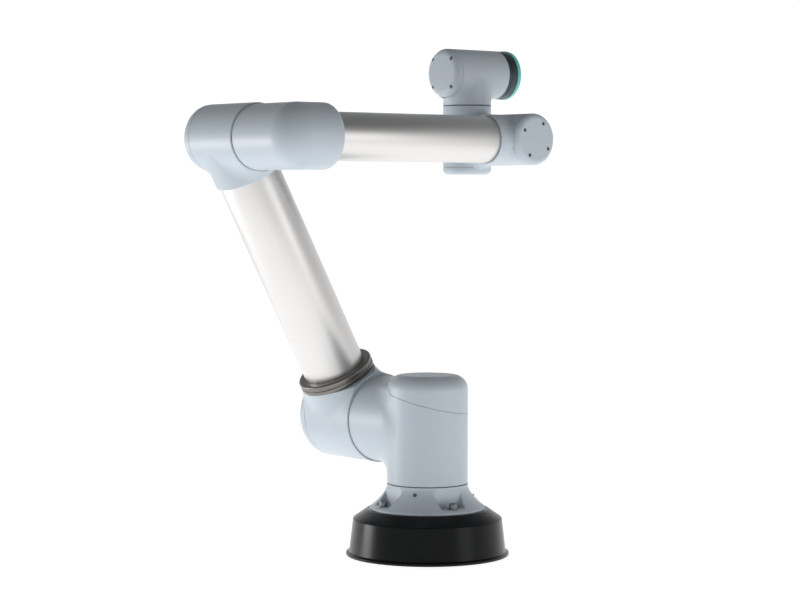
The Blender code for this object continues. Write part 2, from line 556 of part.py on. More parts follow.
def tool():
    axis = Vector((0, WRIST_3.y, WRIST_3.z))
    boss = TOOL_BOSS_RADIUS
    plate = solid("tool_flange", axis, X, [
        (TOOL_RADIUS, WRIST_3_JOINT_X), (TOOL_RADIUS, TOOL_STEP_X), (boss, TOOL_STEP_X),
        (boss, TOOL_FACE_X - TOOL_BOSS_CHAMFER), (boss - TOOL_BOSS_CHAMFER, TOOL_FACE_X),
    ])
    face = axis + X * TOOL_FACE_X
    past = X * LONG_OVERCUT
    pilot = rod("tool_pilot", face - X * PILOT_DEPTH, face + past, PILOT_RADIUS, BORE_SEGMENTS)
    way_start = axis + X * (WRIST_3_JOINT_X - LONG_OVERCUT)
    cable_way = rod("tool_cable_way", way_start, face, TOOL_CABLE_WAY_RADIUS, 16)
    cuts = [pilot, cable_way]
    for n in range(4):
        turn = pi / 4 + pi / 2 * n
        at = face + THREAD_CIRCLE_RADIUS * (Y * cos(turn) + Z * sin(turn))
        name = f"tool_thread_{n + 1}"
        cuts.append(rod(name, at - X * THREAD_DEPTH, at + past, THREAD_RADIUS, HOLE_SEGMENTS))
    dowel = face + Y * -THREAD_CIRCLE_RADIUS
    cuts.append(rod("tool_dowel", dowel - X * PILOT_DEPTH, dowel + past, THREAD_RADIUS, HOLE_SEGMENTS))
    connector_x = (WRIST_3_JOINT_X + TOOL_STEP_X) / 2
    side = axis + X * connector_x
    seat_start, seat_end = side + Y * TOOL_SEAT_REACH, side + Y * 0.06
    cuts.append(rod("tool_connector_seat", seat_start, seat_end, TOOL_SEAT_RADIUS, 16))
    shaped(plate, "tool_dark", cut=cuts)
    light = ring("tool_light_ring", axis, X, [
        (LIGHT_RADIUS, TOOL_STEP_X + GAP), (LIGHT_RADIUS, TOOL_FACE_X - 0.004),
        (0.0420, TOOL_FACE_X - 0.0022), (boss + GAP, TOOL_FACE_X - 0.0022),
        (boss + GAP, TOOL_STEP_X + GAP),
    ])
    light.data.materials.append(material("light_teal"))
    plug = solid("tool_connector", side, Y, [
        (0.0068, 0.0398), (0.0068, 0.0440), (0.0058, 0.0440), (0.0058, 0.0500), (0.0042, 0.0500),
        (0.0042, 0.0470), (0, 0.0470),
    ], 16)
    plug.data.materials.append(material("connector_black"))


clear_scene()
riser()
base()
shoulder()
upper_arm()
forearm()
wrists()
tool()
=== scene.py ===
"""Looks of the six-axis collaborative robot arm: castings, brushed tubes, seals, screws, riser and flange.

Metres, in the frame of the CAD model: +Z up, +X along the forearm at rest and +Y along the shoulder, elbow
and wrist 1 axes.
"""

import json
from math import atan2, cos, pi, radians, sin, tan, tau

import bmesh
import bpy
import numpy as np
from mathutils import Matrix, Vector


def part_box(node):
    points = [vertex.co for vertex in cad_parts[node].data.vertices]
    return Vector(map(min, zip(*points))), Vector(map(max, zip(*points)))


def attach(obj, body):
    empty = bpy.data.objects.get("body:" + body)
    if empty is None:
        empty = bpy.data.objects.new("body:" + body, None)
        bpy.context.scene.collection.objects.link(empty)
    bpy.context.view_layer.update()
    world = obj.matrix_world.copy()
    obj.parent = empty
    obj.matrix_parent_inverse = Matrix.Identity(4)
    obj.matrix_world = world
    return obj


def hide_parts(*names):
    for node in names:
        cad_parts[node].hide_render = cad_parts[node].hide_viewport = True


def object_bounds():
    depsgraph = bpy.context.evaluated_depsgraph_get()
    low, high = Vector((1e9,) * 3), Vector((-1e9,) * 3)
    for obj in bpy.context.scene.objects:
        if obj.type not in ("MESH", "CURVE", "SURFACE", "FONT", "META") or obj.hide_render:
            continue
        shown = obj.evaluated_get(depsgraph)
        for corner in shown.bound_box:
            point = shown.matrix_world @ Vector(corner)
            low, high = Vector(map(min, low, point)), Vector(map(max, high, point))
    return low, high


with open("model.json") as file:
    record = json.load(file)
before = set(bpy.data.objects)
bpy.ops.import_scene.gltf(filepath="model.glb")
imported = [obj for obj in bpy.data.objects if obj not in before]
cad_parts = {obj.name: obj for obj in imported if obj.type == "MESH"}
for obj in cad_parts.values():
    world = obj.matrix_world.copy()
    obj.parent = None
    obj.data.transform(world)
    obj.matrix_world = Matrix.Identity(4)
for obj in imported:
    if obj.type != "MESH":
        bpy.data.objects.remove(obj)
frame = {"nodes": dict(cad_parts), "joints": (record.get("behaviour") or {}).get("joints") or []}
cad_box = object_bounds()

X, Y, Z = Vector((1, 0, 0)), Vector((0, 1, 0)), Vector((0, 0, 1))


# Places and radii, read from the frame


def joint_place(name):
    return Vector(next(j["pos_m"] for j in frame["joints"] if j["name"] == f"{name}_joint"))


def low(node, axis):
    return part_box(node)[0]["xyz".index(axis)]


def high(node, axis):
    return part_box(node)[1]["xyz".index(axis)]


def middle(node, axis):
    return (low(node, axis) + high(node, axis)) / 2


def radius_of(node, axis):
    return (high(node, axis) - low(node, axis)) / 2


SHOULDER_JOINT = joint_place("shoulder")
ELBOW_JOINT = joint_place("elbow")
WRIST_1_JOINT = joint_place("wrist_1")
WRIST_2_JOINT = joint_place("wrist_2")
WRIST_3_JOINT = joint_place("wrist_3")
BASE_TOP = joint_place("base").z
UPPER_ARM_Y = middle("upper_arm_tube", "y")
FOREARM_Y = middle("forearm_tube", "y")

SHOULDER = Vector((0, 0, SHOULDER_JOINT.z))
UPPER_ARM_ROOT = Vector((0, UPPER_ARM_Y, SHOULDER_JOINT.z))
UPPER_ARM_TIP = Vector((ELBOW_JOINT.x, UPPER_ARM_Y, ELBOW_JOINT.z))
ELBOW = Vector((ELBOW_JOINT.x, FOREARM_Y, ELBOW_JOINT.z))
WRIST_1 = Vector((WRIST_1_JOINT.x, FOREARM_Y, WRIST_1_JOINT.z))
WRIST_2 = Vector((WRIST_2_JOINT.x, WRIST_2_JOINT.y, WRIST_1_JOINT.z))
WRIST_3 = Vector((WRIST_2_JOINT.x, WRIST_2_JOINT.y, WRIST_3_JOINT.z))
UPPER_ARM_LENGTH = (UPPER_ARM_TIP - UPPER_ARM_ROOT).length
ALONG_UPPER_ARM = (UPPER_ARM_TIP - UPPER_ARM_ROOT).normalized()

COLUMN_RADIUS = radius_of("shoulder_cap", "x")
COLUMN_TOP = high("shoulder_cap", "z")
SHOULDER_RADIUS = radius_of("upper_arm_shoulder_cap", "x")
ELBOW_RADIUS = radius_of("upper_arm_elbow_cap", "x")
SLEEVE_RADIUS = radius_of("forearm_elbow_housing", "z")
WRIST_1_RADIUS = radius_of("forearm_wrist_cap", "x")
WRIST_2_RADIUS = radius_of("wrist_1_cap", "x")
WRIST_3_RADIUS = radius_of("wrist_2_cap", "z")
FORE_TUBE_RADIUS = radius_of("forearm_tube", "z")
UPPER_TUBE_RADIUS = radius_of("upper_arm_tube", "y")
CLAMP_RADIUS = radius_of("upper_arm_clamp_ring", "y")
FLANGE_RADIUS = radius_of("base_housing", "x")
FLANGE_BOTTOM = low("base_housing", "z")
RISER_TOP = high("riser_body", "z")
RISER_FOOT_RADIUS = radius_of("riser_body", "x")
TOOL_FACE_X = high("tool_flange", "x")
TOOL_RADIUS = radius_of("tool_flange", "z")

# Sizes of the castings

SHOULDER_NECK_RADIUS = 0.0732
SHOULDER_NECK_START = 0.035
SHOULDER_NECK_BORE = 0.069
SHOULDER_WEB = 0.0083
SHOULDER_ASIDE = 0.08
COLUMN_START = 0.05
UPPER_ARM_NECK_RADIUS = 0.0645
ELBOW_COLLAR_RADIUS = 0.0575
ELBOW_COLLAR_LENGTH = 0.068
ELBOW_COLLAR_SETBACK = 0.006
WRIST_COLLAR_RADIUS = FORE_TUBE_RADIUS + 0.0027
CLAMP_START, CLAMP_END = 0.078, 0.095
LID_HEIGHT, LID_SLOPE_X, LID_SLOPE_Y = 0.2545, -0.160, 0.204
LID_ROUNDING = 0.024
SLEEVE_ROUNDING = 0.0085
TUBE_SEAT_LENGTH = 0.016
JOINT_WEB = 0.008
ARM_CABLE_WAY, COLUMN_CABLE_WAY, ELBOW_CABLE_WAY, WRIST_CABLE_WAY = 0.028, 0.020, 0.016, 0.014
TUBE_ROUNDING = 0.0006
WALL = 0.004
THIN_WALL = 0.003
GAP = 0.0003
SEAM_GROOVE = 0.0007
JOINT_GROOVE = 0.0011
SEAL_RADIUS = 0.0008
SCREW_BORE_RADIUS = 0.0033
SCREW_BORE_DEPTH = 0.0042

# Sides of a full turn, grid cells of the castings' skins, and reaches past a casting's cut ends

FINE = 112
HOLE_SEGMENTS = 48
COARSE_CELL, MIDDLE_CELL, FINE_CELL = 0.0028, 0.0022, 0.0017
GRID_MARGIN = 3
PAST = 0.01
FAR_PAST = 0.2


# Smooth solids. A field gives, for points, the distance to a surface and the direction away from it.


def rod_field(start, end, radius):
    """The field of a rod with a half ball at each end."""
    start, along = np.array(start), np.array(end - start)

    def field(points):
        share = np.clip((points - start) @ along / (along @ along), 0, 1)
        away = points - start - share[:, None] * along
        reach = np.linalg.norm(away, axis=1)
        return reach - radius, away / np.maximum(reach, 1e-9)[:, None]

    return field


def drum_field(start, end, radius, rounding):
    """The field of a rod with a flat far end and a rounded edge round it."""
    length = (end - start).length
    start, along = np.array(start), np.array((end - start).normalized())

    def field(points):
        height = (points - start) @ along
        away = points - start - height[:, None] * along
        reach = np.linalg.norm(away, axis=1)
        outward = away / np.maximum(reach, 1e-9)[:, None]
        side, top = reach - (radius - rounding), height - (length - rounding)
        over_side, over_top = np.maximum(side, 0), np.maximum(top, 0)
        corner = np.hypot(over_side, over_top)
        distance = corner + np.minimum(np.maximum(side, top), 0) - rounding
        turned_up = over_side[:, None] * outward + over_top[:, None] * along
        inner = np.where((side > top)[:, None], outward, along)
        way = np.where((corner > 1e-9)[:, None], turned_up / np.maximum(corner, 1e-9)[:, None], inner)
        return distance, way

    return field


def blended(first, second, width):
    """Both solids, with a fillet where their surfaces meet at an angle."""

    def field(points):
        a, way_a = first(points)
        b, way_b = second(points)
        reach = width * np.clip(1 - (way_a * way_b).sum(1), 0, 1) + 1e-6
        share = np.clip(1 - np.abs(a - b) / reach, 0, 1)
        way = np.where((a < b)[:, None], way_a, way_b)
        return np.minimum(a, b) - share * share * reach / 4, way

    return field


def onto(field, points, rounds=3):
    """Moves points onto the surface of a field."""
    step = 1e-5
    for _ in range(rounds):
        value = field(points)[0]
        slope = np.stack([field(points + step * axis)[0] - value for axis in np.eye(3)], 1) / step
        points = points - (value / np.maximum((slope * slope).sum(1), 0.05))[:, None] * slope
    return points


def skin(name, field, lowest, highest, cell):
    """A mesh of quads on the surface of a field, about a cell apart, open where it leaves the box."""
    counts = np.ceil((np.array(highest) - np.array(lowest)) / cell).astype(int) + 2 * GRID_MARGIN + 1
    lines = [lowest[n] - GRID_MARGIN * cell + cell * np.arange(counts[n]) for n in range(3)]
    grid = np.stack(np.meshgrid(*lines, indexing="ij"), -1)
    value = field(grid.reshape(-1, 3))[0].reshape(counts)

    total = np.zeros((*(counts - 1), 3))
    hits = np.zeros(counts - 1)
    quads = []
    for axis in range(3):
        across = [n for n in range(3) if n != axis]
        near = [slice(None)] * 3
        far = [slice(None)] * 3
        near[axis], far[axis] = slice(0, -1), slice(1, None)
        a, b = value[tuple(near)], value[tuple(far)]
        crossing = (a < 0) != (b < 0)
        share = np.where(crossing, a / np.where(crossing, a - b, 1), 0)
        place = grid[tuple(near)] + share[..., None] * cell * np.eye(3)[axis]
        for first in (0, 1):
            for second in (0, 1):
                here = [slice(None)] * 3
                here[across[0]] = slice(first, counts[across[0]] - 1 + first)
                here[across[1]] = slice(second, counts[across[1]] - 1 + second)
                total += np.where(crossing[tuple(here)][..., None], place[tuple(here)], 0)
                hits += crossing[tuple(here)]
        edges = np.argwhere(crossing)
        beside = edges[:, across]
        edges = edges[((beside > 0) & (beside < counts[across] - 1)).all(1)]
        rising = (a < 0)[tuple(edges.T)]
        corners = []
        for first, second in ((1, 1), (0, 1), (0, 0), (1, 0)):
            offset = np.zeros(3, int)
            offset[across[0]], offset[across[1]] = first, second
            corners.append(np.ravel_multi_index((edges - offset).T, counts - 1))
        loop = np.stack(corners, 1)
        forward = rising if axis != 1 else ~rising
        quads.append(np.where(forward[:, None], loop, loop[:, ::-1]))
    quads = np.concatenate(quads)
    used, quads = np.unique(quads, return_inverse=True)
    quads = quads.reshape(-1, 4)
    points = total.reshape(-1, 3)[used] / hits.reshape(-1, 1)[used]

    sides = np.concatenate([quads[:, [0, 1]], quads[:, [1, 2]], quads[:, [2, 3]], quads[:, [3, 0]]])
    weight = np.bincount(sides[:, 0], minlength=len(points))[:, None]
    for _ in range(6):
        points = onto(field, points, 1)
        ends = points[sides[:, 1]]
        around = np.stack([np.bincount(sides[:, 0], ends[:, n], len(points)) for n in range(3)], 1)
        points = (points + around / weight) / 2
    points = onto(field, points)
    mesh = bpy.data.meshes.new(name)
    mesh.from_pydata(points.tolist(), [], quads.tolist())
    mesh.update()
    return link(name, mesh)


def link(name, mesh):
    thing = bpy.data.objects.new(name, mesh)
    bpy.context.scene.collection.objects.link(thing)
    return thing


# Turned solids


def facing(direction):
    """The rotation that turns local +Z to direction."""
    return Z.rotation_difference(direction.normalized()).to_matrix().to_4x4()


def rounded(corners, steps=5):
    """An outline through (radius, height, rounding) corners, with an arc in place of each rounded corner."""
    points = []
    count = len(corners)
    for n, (r, h, rounding) in enumerate(corners):
        here = Vector((r, h))
        if rounding == 0:
            points.append(here)
            continue
        back = (Vector(corners[n - 1][:2]) - here).normalized()
        ahead = (Vector(corners[(n + 1) % count][:2]) - here).normalized()
        half = back.angle(ahead) / 2
        reach = rounding / tan(half)
        centre = here + (back + ahead).normalized() * (rounding / sin(half))
        start, end = here + back * reach - centre, here + ahead * reach - centre
        first = atan2(start.y, start.x)
        sweep = (atan2(end.y, end.x) - first + pi) % tau - pi
        turns = [first + sweep * k / steps for k in range(steps + 1)]
        points += [centre + rounding * Vector((cos(t), sin(t))) for t in turns]
    return [(p.x, p.y) for p in points]


def turned(name, origin, direction, outline, segments=FINE, hollow=False):
    """A closed body turned about direction through origin, from (radius, height) points up its outside.

    A hollow body's outline is a closed loop. Otherwise a first or last point on the axis closes the body.
    """
    bm = bmesh.new()
    loops = []
    for r, h in outline:
        turns = [0] if r < 1e-7 else [tau * n / segments for n in range(segments)]
        loops.append([bm.verts.new((r * cos(t), r * sin(t), h)) for t in turns])
    pairs = list(zip(loops, loops[1:])) + ([(loops[-1], loops[0])] if hollow else [])
    for below, above in pairs:
        for n in range(segments):
            corners = [below[n % len(below)], below[(n + 1) % len(below)]]
            corners += [above[(n + 1) % len(above)], above[n % len(above)]]
            corners = list(dict.fromkeys(corners))
            if len(corners) > 2:
                bm.faces.new(corners)
    if not hollow:
        for loop in (loops[0], loops[-1]):
            if len(loop) > 1:
                bm.faces.new(loop)
    bmesh.ops.recalc_face_normals(bm, faces=bm.faces)
    mesh = bpy.data.meshes.new(name)
    bm.to_mesh(mesh)
    bm.free()
    thing = link(name, mesh)
    thing.matrix_world = Matrix.Translation(origin) @ facing(direction)
    return smooth(thing)


def rod(name, start, end, radius, segments=FINE):
    return turned(name, start, end - start, [(radius, 0), (radius, (end - start).length)], segments)


def groove(name, path, radius):
    """A thin closed tube along a closed path, to cut a seam's groove."""
    bm = bmesh.new()
    loops = []
    for n, point in enumerate(path):
        along = (path[(n + 1) % len(path)] - path[n - 1]).normalized()
        side = along.cross(Z if abs(along.z) < 0.9 else X).normalized()
        up = side.cross(along)
        turns = [tau * k / 8 for k in range(8)]
        loops.append([bm.verts.new(point + radius * (cos(t) * side + sin(t) * up)) for t in turns])
    for below, above in zip(loops, loops[1:] + loops[:1]):
        for k in range(8):
            bm.faces.new([below[k], below[(k + 1) % 8], above[(k + 1) % 8], above[k]])
    bmesh.ops.recalc_face_normals(bm, faces=bm.faces)
    mesh = bpy.data.meshes.new(name)
    bm.to_mesh(mesh)
    bm.free()
    return link(name, mesh)


def seam_ring(name, at, direction, radius, width):
    """A thin torus round direction at a seam, to cut its groove."""
    turns = [tau * k / 8 for k in range(8)]
    outline = [(radius + width * cos(t), width * sin(t)) for t in turns]
    return turned(name, at, direction, outline, FINE, hollow=True)


def smooth(thing, sharp=radians(32)):
    thing.data.shade_smooth()
    thing.data.set_sharp_from_angle(angle=sharp)
    return thing


def carved(thing, cut=(), keep=()):
    """Cuts the solids in cut out of thing, and keeps only what is inside the solids in keep."""
    for operation, tools in (("DIFFERENCE", cut), ("INTERSECT", keep)):
        for tool in tools:
            change = thing.modifiers.new(operation.lower(), "BOOLEAN")
            change.operation = operation
            change.solver = "MANIFOLD"
            change.object = tool
    bpy.context.view_layer.update()
    done = thing.evaluated_get(bpy.context.evaluated_depsgraph_get())
    mesh = bpy.data.meshes.new_from_object(done)
    thing.modifiers.clear()
    thing.data = mesh
    for tool in {*cut, *keep}:
        bpy.data.objects.remove(tool)
    return smooth(thing)


# Materials


def new_material(name, colour, roughness, metallic=0.0):
    found = bpy.data.materials.new(name)
    found.use_nodes = True
    shader = found.node_tree.nodes["Principled BSDF"]
    shader.inputs["Base Color"].default_value = (*colour, 1)
    shader.inputs["Roughness"].default_value = roughness
    shader.inputs["Metallic"].default_value = metallic
    return found, shader


def grain(material, shader, scale, stretch, bump, distance, rough_range, tint, detail=3):
    """Noise that shades the colour a little, varies the roughness and raises a fine bump."""
    nodes, links = material.node_tree.nodes, material.node_tree.links
    coordinates = nodes.new("ShaderNodeTexCoord")
    mapping = nodes.new("ShaderNodeMapping")
    mapping.inputs["Scale"].default_value = stretch
    links.new(coordinates.outputs["Object"], mapping.inputs["Vector"])
    noise = nodes.new("ShaderNodeTexNoise")
    noise.inputs["Scale"].default_value = scale
    noise.inputs["Detail"].default_value = detail
    links.new(mapping.outputs["Vector"], noise.inputs["Vector"])
    broad = nodes.new("ShaderNodeTexNoise")
    broad.inputs["Scale"].default_value = 9
    broad.inputs["Detail"].default_value = 2
    links.new(coordinates.outputs["Object"], broad.inputs["Vector"])

    rough = nodes.new("ShaderNodeMapRange")
    rough.inputs["To Min"].default_value, rough.inputs["To Max"].default_value = rough_range
    rough.inputs["From Min"].default_value, rough.inputs["From Max"].default_value = 0.1, 0.9
    links.new(broad.outputs["Fac"], rough.inputs["Value"])
    links.new(rough.outputs["Result"], shader.inputs["Roughness"])

    colour = shader.inputs["Base Color"].default_value[:3]
    mix = nodes.new("ShaderNodeMix")
    mix.data_type = "RGBA"
    mix.inputs["A"].default_value = (*[c * (1 - tint) for c in colour], 1)
    mix.inputs["B"].default_value = (*[min(1, c * (1 + tint)) for c in colour], 1)
    links.new(noise.outputs["Fac"], mix.inputs["Factor"])
    links.new(mix.outputs["Result"], shader.inputs["Base Color"])

    raise_grain = nodes.new("ShaderNodeBump")
    raise_grain.inputs["Strength"].default_value = bump
    raise_grain.inputs["Distance"].default_value = distance
    links.new(noise.outputs["Fac"], raise_grain.inputs["Height"])
    links.new(raise_grain.outputs["Normal"], shader.inputs["Normal"])
    return material


# How a noise is stretched: a small number draws its grain out along that axis
EVEN, DRAWN, WOUND = (1, 1, 1), (1, 1, 0.02), (1, 1, 0.2)
TURNED, ACROSS = (0.05, 0.05, 1), (0.03, 0.03, 1)


def make_materials():
    made = {}
    plans = {
        # name: colour, roughness, metallic, noise scale, stretch, bump, distance, roughness range, tint
        "casting_paint": ((0.45, 0.505, 0.555), 0.42, 0.0, 900, EVEN, 0.10, 0.0002, (0.38, 0.46), 0.02),
        "tube_metal": ((0.62, 0.61, 0.60), 0.4, 1.0, 420, DRAWN, 0.05, 0.0001, (0.38, 0.42), 0.03),
        "clamp_metal": ((0.18, 0.17, 0.16), 0.35, 1.0, 700, ACROSS, 0.1, 0.0001, (0.30, 0.42), 0.06),
        "riser_black": ((0.006, 0.0065, 0.007), 0.28, 0.0, 1300, EVEN, 0.12, 0.0002, (0.22, 0.34), 0.10),
        "tool_dark": ((0.050, 0.064, 0.070), 0.32, 0.7, 900, EVEN, 0.08, 0.0001, (0.28, 0.38), 0.05),
        "seal_rubber": ((0.10, 0.11, 0.12), 0.6, 0.0, 800, EVEN, 0.2, 0.0002, (0.55, 0.70), 0.05),
        "screw_steel": ((0.17, 0.175, 0.18), 0.4, 0.9, 900, EVEN, 0.1, 0.0001, (0.34, 0.46), 0.05),
        "connector_black": ((0.02, 0.021, 0.023), 0.45, 0.0, 900, EVEN, 0.2, 0.0002, (0.4, 0.55), 0.08),
        "contact_gold": ((0.85, 0.62, 0.28), 0.25, 1.0, 900, EVEN, 0.05, 0.0001, (0.2, 0.3), 0.03),
        "motor_copper": ((0.55, 0.26, 0.12), 0.5, 0.8, 420, WOUND, 0.5, 0.0006, (0.4, 0.6), 0.25),
        "shaft_steel": ((0.50, 0.50, 0.52), 0.28, 1.0, 500, TURNED, 0.1, 0.0001, (0.22, 0.34), 0.05),
        "reducer_steel": ((0.42, 0.42, 0.45), 0.3, 1.0, 500, TURNED, 0.1, 0.0001, (0.24, 0.36), 0.05),
        "bearing_steel": ((0.60, 0.60, 0.62), 0.16, 1.0, 500, TURNED, 0.05, 0.0001, (0.12, 0.2), 0.03),
        "circuit_green": ((0.02, 0.16, 0.07), 0.4, 0.0, 260, EVEN, 0.3, 0.0004, (0.3, 0.5), 0.35),
    }
    for name, (colour, roughness, metallic, scale, stretch, bump, distance, rough, tint) in plans.items():
        material, shader = new_material(name, colour, roughness, metallic)
        made[name] = grain(material, shader, scale, stretch, bump, distance, rough, tint)
    riser_shader = made["riser_black"].node_tree.nodes["Principled BSDF"]
    riser_shader.inputs["Specular IOR Level"].default_value = 0.15
    material, shader = new_material("light_teal", (0.10, 0.44, 0.41), 0.3)
    shader.inputs["Emission Color"].default_value = (0.10, 0.50, 0.46, 1)
    shader.inputs["Emission Strength"].default_value = 0.15
    shader.inputs["Coat Weight"].default_value = 0.4
    made["light_teal"] = grain(material, shader, 500, (1, 1, 1), 0.05, 0.0001, (0.25, 0.35), 0.06)
    return made


MATERIALS = make_materials()


def finished(thing, body, material, slot, *nodes):
    """Gives a piece its material and its body, and hides the CAD nodes that it stands for. slot is not used.
    """
    thing.data.materials.clear()
    thing.data.materials.append(MATERIALS[material])
    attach(thing, body)
    if nodes:
        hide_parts(*nodes)
    return thing


# Fasteners


def screw_mesh(radius, height, socket):
    """A socket head with a chamfered edge and a hexagonal socket, standing on height 0 and facing +Z."""
    edge = radius * 0.14
    corners = [(0, 0, 0), (radius, 0, 0), (radius, height, edge), (0, height, 0)]
    head = turned("screw", Vector(), Z, rounded(corners, 3), 32)
    key = rod("screw_socket", Z * (height - socket), Z * (height + 0.001), radius * 0.52, 6)
    carved(head, cut=[key])
    mesh = head.data
    bpy.data.objects.remove(head)
    mesh.materials.clear()
    mesh.materials.append(MATERIALS["screw_steel"])
    return mesh


SMALL_SCREW = screw_mesh(0.0026, 0.0022, 0.0015)
BASE_BOLT = screw_mesh(0.0065, 0.0080, 0.0042)


def screws(name, mesh, places, direction, body):
    for n, at in enumerate(places, 1):
        screw = link(f"{name}_{n}", mesh)
        screw.matrix_world = Matrix.Translation(at) @ facing(direction)
        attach(screw, body)


def around(centre, direction, radius, first_angle, count=4):
    """Places on a circle round direction, counted from the first of its two sideways axes."""
    turn = facing(direction)
    angles = [first_angle + tau * n / count for n in range(count)]
    return [centre + turn @ Vector((radius * cos(a), radius * sin(a), 0)) for a in angles]


# Caps with their screws


def cap(node, centre, direction, radius, seam, end, rounding, wall, body, screw_circle, first_angle):
    """A round cap from its seam to its end along direction, with counterbored screws in its face."""
    height = end - seam
    at = centre + direction * seam
    shell = turned(f"{node}_shell", at, direction, rounded([
        (0, height - wall, 0), (radius - rounding, height - wall, 0), (radius - wall, 0, 0),
        (radius, 0, SEAM_GROOVE), (radius, height, rounding), (0, height, 0),
    ], 10))
    places = around(at, direction, screw_circle, first_angle)
    depth = height - SCREW_BORE_DEPTH
    over = height + PAST
    bores = [
        rod(f"{node}_bore_{n}", place + direction * depth, place + direction * over, SCREW_BORE_RADIUS, 24)
        for n, place in enumerate(places)
    ]
    carved(shell, cut=bores)
    finished(shell, body, "casting_paint", "casting_paint", node)
    heads = [place + direction * depth for place in places]
    screws(f"{node}_screw", SMALL_SCREW, heads, direction, body)


def seal(name, at, direction, radius, body):
    """The dark seal that shows in the groove between two castings."""
    turns = [tau * k / 8 for k in range(8)]
    outline = [(radius + SEAL_RADIUS * cos(t), SEAL_RADIUS * sin(t)) for t in turns]
    ring = turned(name, at, direction, outline, FINE, hollow=True)
    finished(ring, body, "seal_rubber", "connector_black")


# Castings


def casting(name, field, lowest, highest, cell):
    """The closed skin of a field, cut off square at the box from lowest to highest."""
    body = skin(name, field, lowest, highest, cell)
    bm = bmesh.new()
    bm.from_mesh(body.data)
    for corner, side in ((lowest, -1), (highest, 1)):
        for axis in (X, Y, Z):
            whole = bm.verts[:] + bm.edges[:] + bm.faces[:]
            way = axis * side
            bmesh.ops.bisect_plane(bm, geom=whole, plane_co=corner, plane_no=way, clear_outer=True)
            bmesh.ops.holes_fill(bm, edges=[e for e in bm.edges if e.is_boundary])
    bm.to_mesh(body.data)
    bm.free()
    return body


def lid_height(x, y):
    return LID_HEIGHT + LID_SLOPE_X * x + LID_SLOPE_Y * y


def lid_space(name, radius, lift):
    """A rod about the column whose lower end is the lid's slanted seam, moved up by lift."""
    foot, head = 0.2, 0.4
    space = rod(name, Z * foot, Z * head, radius)
    for corner in space.data.vertices:
        if corner.co.z < (head - foot) / 2:
            corner.co.z = lid_height(corner.co.x, corner.co.y) + lift - foot
    return space


def lid_seam(field, radius, steps=180, levels=200):
    """The seam's path on the casting: along the slanted plane, and over the neck where the neck is higher."""
    path = []
    for n in range(steps):
        x, y = radius * cos(tau * n / steps), radius * sin(tau * n / steps)
        heights = np.linspace(lid_height(x, y), COLUMN_TOP + 0.004, levels)
        column = np.stack([np.full(levels, x), np.full(levels, y), heights], 1)
        inside = np.nonzero(field(column)[0] < 0)[0]
        path.append(Vector((x, y, heights[inside[-1]] if len(inside) else heights[0])))
    return path


def shoulder():
    column = drum_field(Z * COLUMN_START, Z * COLUMN_TOP, COLUMN_RADIUS, LID_ROUNDING)
    neck = rod_field(SHOULDER + Y * SHOULDER_NECK_START, SHOULDER + Y * FAR_PAST, SHOULDER_NECK_RADIUS)
    field = blended(column, neck, 0.045)
    lowest = Vector((-SHOULDER_ASIDE, -SHOULDER_ASIDE, BASE_TOP + GAP))
    highest = Vector((SHOULDER_ASIDE, SHOULDER_JOINT.y - GAP, COLUMN_TOP + PAST))
    housing = casting("shoulder_casting", field, lowest, highest, COARSE_CELL)
    lid = link("shoulder_lid", housing.data.copy())

    inner = COLUMN_RADIUS - WALL
    path = lid_seam(field, COLUMN_RADIUS + 0.0001)
    neck_bore_start = SHOULDER + Y * 0.021
    web = SHOULDER_JOINT - Y * SHOULDER_WEB
    bore = rod("column_bore", Z * (BASE_TOP - PAST), Z * 0.262, inner)
    neck_bore = rod("neck_bore", neck_bore_start, web, SHOULDER_NECK_BORE)
    hole_end = SHOULDER_JOINT + Y * PAST
    cable_hole = rod("neck_cable_hole", SHOULDER, hole_end, COLUMN_CABLE_WAY, HOLE_SEGMENTS)
    base_ring = seam_ring("base_ring", Z * (BASE_TOP + GAP / 2), Z, COLUMN_RADIUS, JOINT_GROOVE)
    arm_ring = seam_ring("arm_ring", SHOULDER_JOINT, Y, SHOULDER_NECK_RADIUS, JOINT_GROOVE)
    lid_cut = lid_space("lid_cut", COLUMN_RADIUS + GAP, 0)
    line = groove("lid_line", path, SEAM_GROOVE)
    carved(housing, cut=[bore, neck_bore, cable_hole, base_ring, arm_ring, lid_cut, line])
    finished(housing, "shoulder", "casting_paint", "casting_paint", "shoulder_housing")

    lid_keep = lid_space("lid_keep", COLUMN_RADIUS, GAP)
    line = groove("lid_line_again", path, SEAM_GROOVE)
    hollow = turned("lid_hollow", Z * 0.2, Z, [(inner, 0), (inner, 0.075), (0.046, 0.096)])
    carved(lid, cut=[line, hollow], keep=[lid_keep])
    finished(lid, "shoulder", "casting_paint", "casting_paint", "shoulder_cap")
    seal("base_joint_seal", Z * (BASE_TOP + GAP / 2), Z, COLUMN_RADIUS - SEAL_RADIUS, "shoulder")
    seal_at, seal_radius = SHOULDER_JOINT - Y * GAP / 2, SHOULDER_NECK_RADIUS - SEAL_RADIUS
    seal("shoulder_joint_seal", seal_at, Y, seal_radius, "shoulder")


